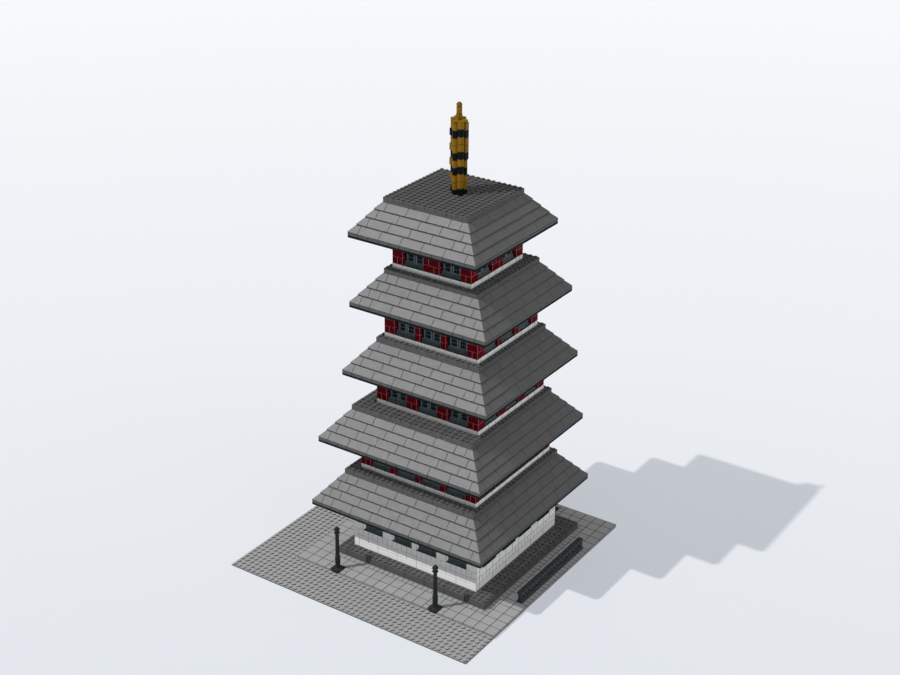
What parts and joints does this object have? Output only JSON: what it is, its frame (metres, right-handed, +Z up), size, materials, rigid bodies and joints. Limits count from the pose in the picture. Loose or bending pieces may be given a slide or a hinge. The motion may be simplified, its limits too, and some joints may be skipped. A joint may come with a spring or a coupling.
{
  "type": "toy brick pagoda",
  "caption": "Toy pagoda of building bricks: red storeys with lattice windows under stepped grey roofs, a gold spire, and a studded base with lamp posts and a fence.",
  "frame": {"origin": "centre of the baseplate's underside, on the surface that the toy stands on", "axes": "+Z up along the tower; -Y is the front, where the wide studded margin and two lamp posts are; +X is the right side, where the fence is"},
  "size_m": [0.384, 0.384, 0.6369],
  "materials": {
    "light_grey": "smooth moulded plastic, light grey",
    "dark_grey": "smooth moulded plastic, dark grey",
    "black": "smooth moulded plastic, black with a blue tint",
    "white": "smooth moulded plastic, white",
    "red": "smooth moulded plastic, dark red",
    "gold": "smooth moulded plastic, dull gold"
  },
  "bodies": {
    "root": {"baseplate": "light_grey", "paving": "light_grey", "plinth": "dark_grey", "lamp_front_left": "black", "lamp_front_right": "black", "lamp_back_left": "black", "lamp_back_right": "black", "fence": "black", "storey1_wall_front": "white", "storey1_wall_right": "white", "storey1_wall_back": "white", "storey1_wall_left": "white", "storey1_windows": "black", "roof1_eave": "dark_grey", "roof1_slopes": "light_grey", "roof1_deck": "dark_grey", "storey2_wall_front": "red", "storey2_wall_right": "red", "storey2_wall_back": "red", "storey2_wall_left": "red", "storey2_windows": "black", "roof2_eave": "dark_grey", "roof2_slopes": "light_grey", "roof2_deck": "dark_grey", "storey3_wall_front": "red", "storey3_wall_right": "red", "storey3_wall_back": "red", "storey3_wall_left": "red", "storey3_windows": "black", "roof3_eave": "dark_grey", "roof3_slopes": "light_grey", "roof3_deck": "dark_grey", "storey4_wall_front": "red", "storey4_wall_right": "red", "storey4_wall_back": "red", "storey4_wall_left": "red", "storey4_windows": "black", "roof4_eave": "dark_grey", "roof4_slopes": "light_grey", "roof4_deck": "dark_grey", "storey5_wall_front": "red", "storey5_wall_right": "red", "storey5_wall_back": "red", "storey5_wall_left": "red", "storey5_windows": "black", "roof5_eave": "dark_grey", "roof5_slopes": "light_grey", "roof5_deck": "dark_grey", "spire_columns": "gold", "spire_pin": "gold"}
  },
  "joints": []
}
